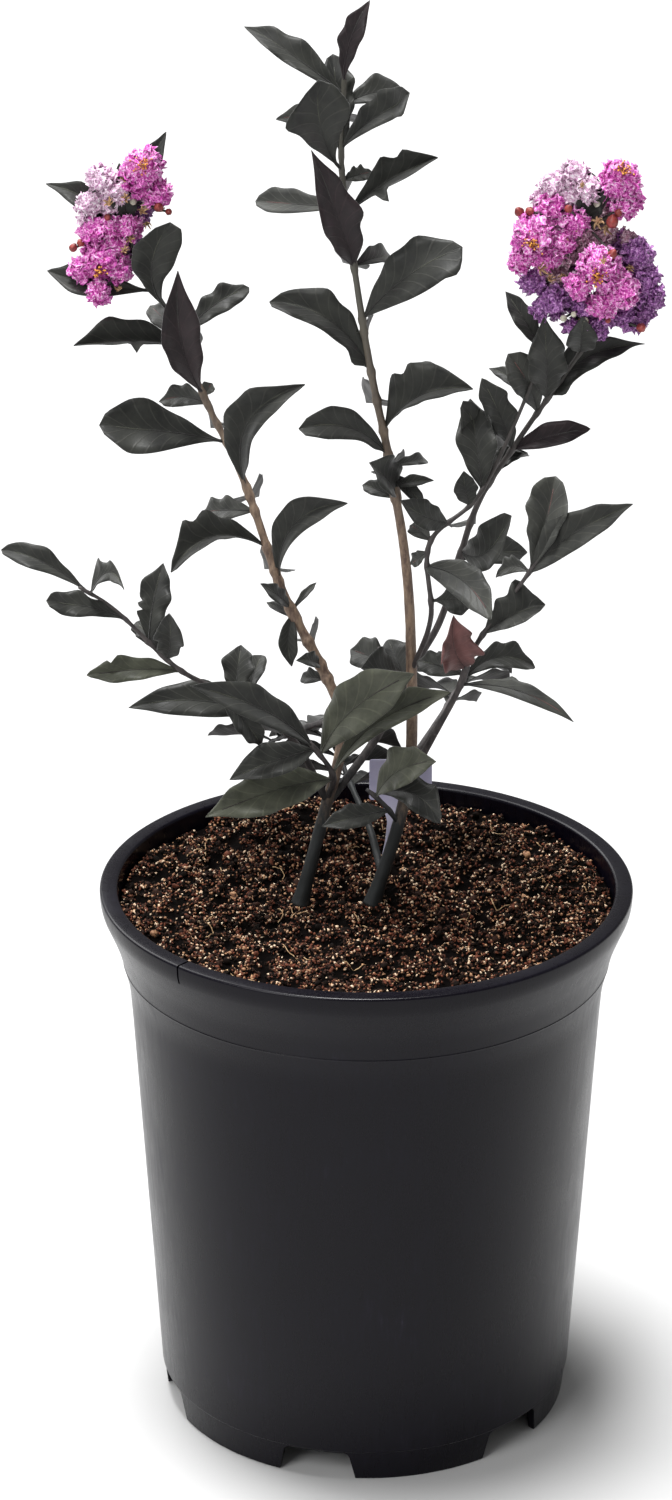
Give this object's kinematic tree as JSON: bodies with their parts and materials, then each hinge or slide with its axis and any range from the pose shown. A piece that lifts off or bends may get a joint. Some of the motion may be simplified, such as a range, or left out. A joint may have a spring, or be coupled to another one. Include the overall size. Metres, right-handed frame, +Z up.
{
  "type": "potted crape myrtle",
  "caption": "Young crape myrtle with near-black pointed leaves and magenta flower heads, standing in a round black nursery pot filled with potting mix.",
  "frame": {"origin": "on the pot's axis, on the plane that the pot's foot stands on", "axes": "+Z up, -Y towards the front of the plant, +X to its right as seen from the front"},
  "size_m": [0.3353, 0.282, 0.7777],
  "materials": {
    "pot": "satin black moulded polypropylene, a little scuffed and dusty",
    "potting_mix": "dark brown bark and peat crumbs",
    "bark": "smooth tan-brown to grey bark, near black on the thin twigs",
    "foliage": "near-black leaves with a dusty satin sheen",
    "blossom": "thin crinkled magenta-pink petals",
    "tag": "thin pale lavender plastic, left blank"
  },
  "bodies": {
    "root": {"pot": "pot", "potting_mix": "potting_mix", "left_stem": "bark", "middle_stem": "bark", "right_stem": "bark", "low_right_stem": "bark", "slim_stem": "bark", "far_left_stem": "bark", "back_stem": "bark", "back_left_stem": "bark", "back_right_stem": "bark", "tag": "tag", "left_bloom": "blossom", "right_bloom": "blossom", "front_spray": "foliage", "front_right_spray": "foliage", "middle_spray": "foliage", "left_shoot": "foliage", "middle_shoot": "foliage", "right_shoot": "foliage", "low_right_shoot": "foliage", "inner_shoot": "foliage", "far_left_shoot": "foliage", "back_shoot": "foliage", "back_left_shoot": "foliage", "back_right_shoot": "foliage"}
  },
  "joints": []
}
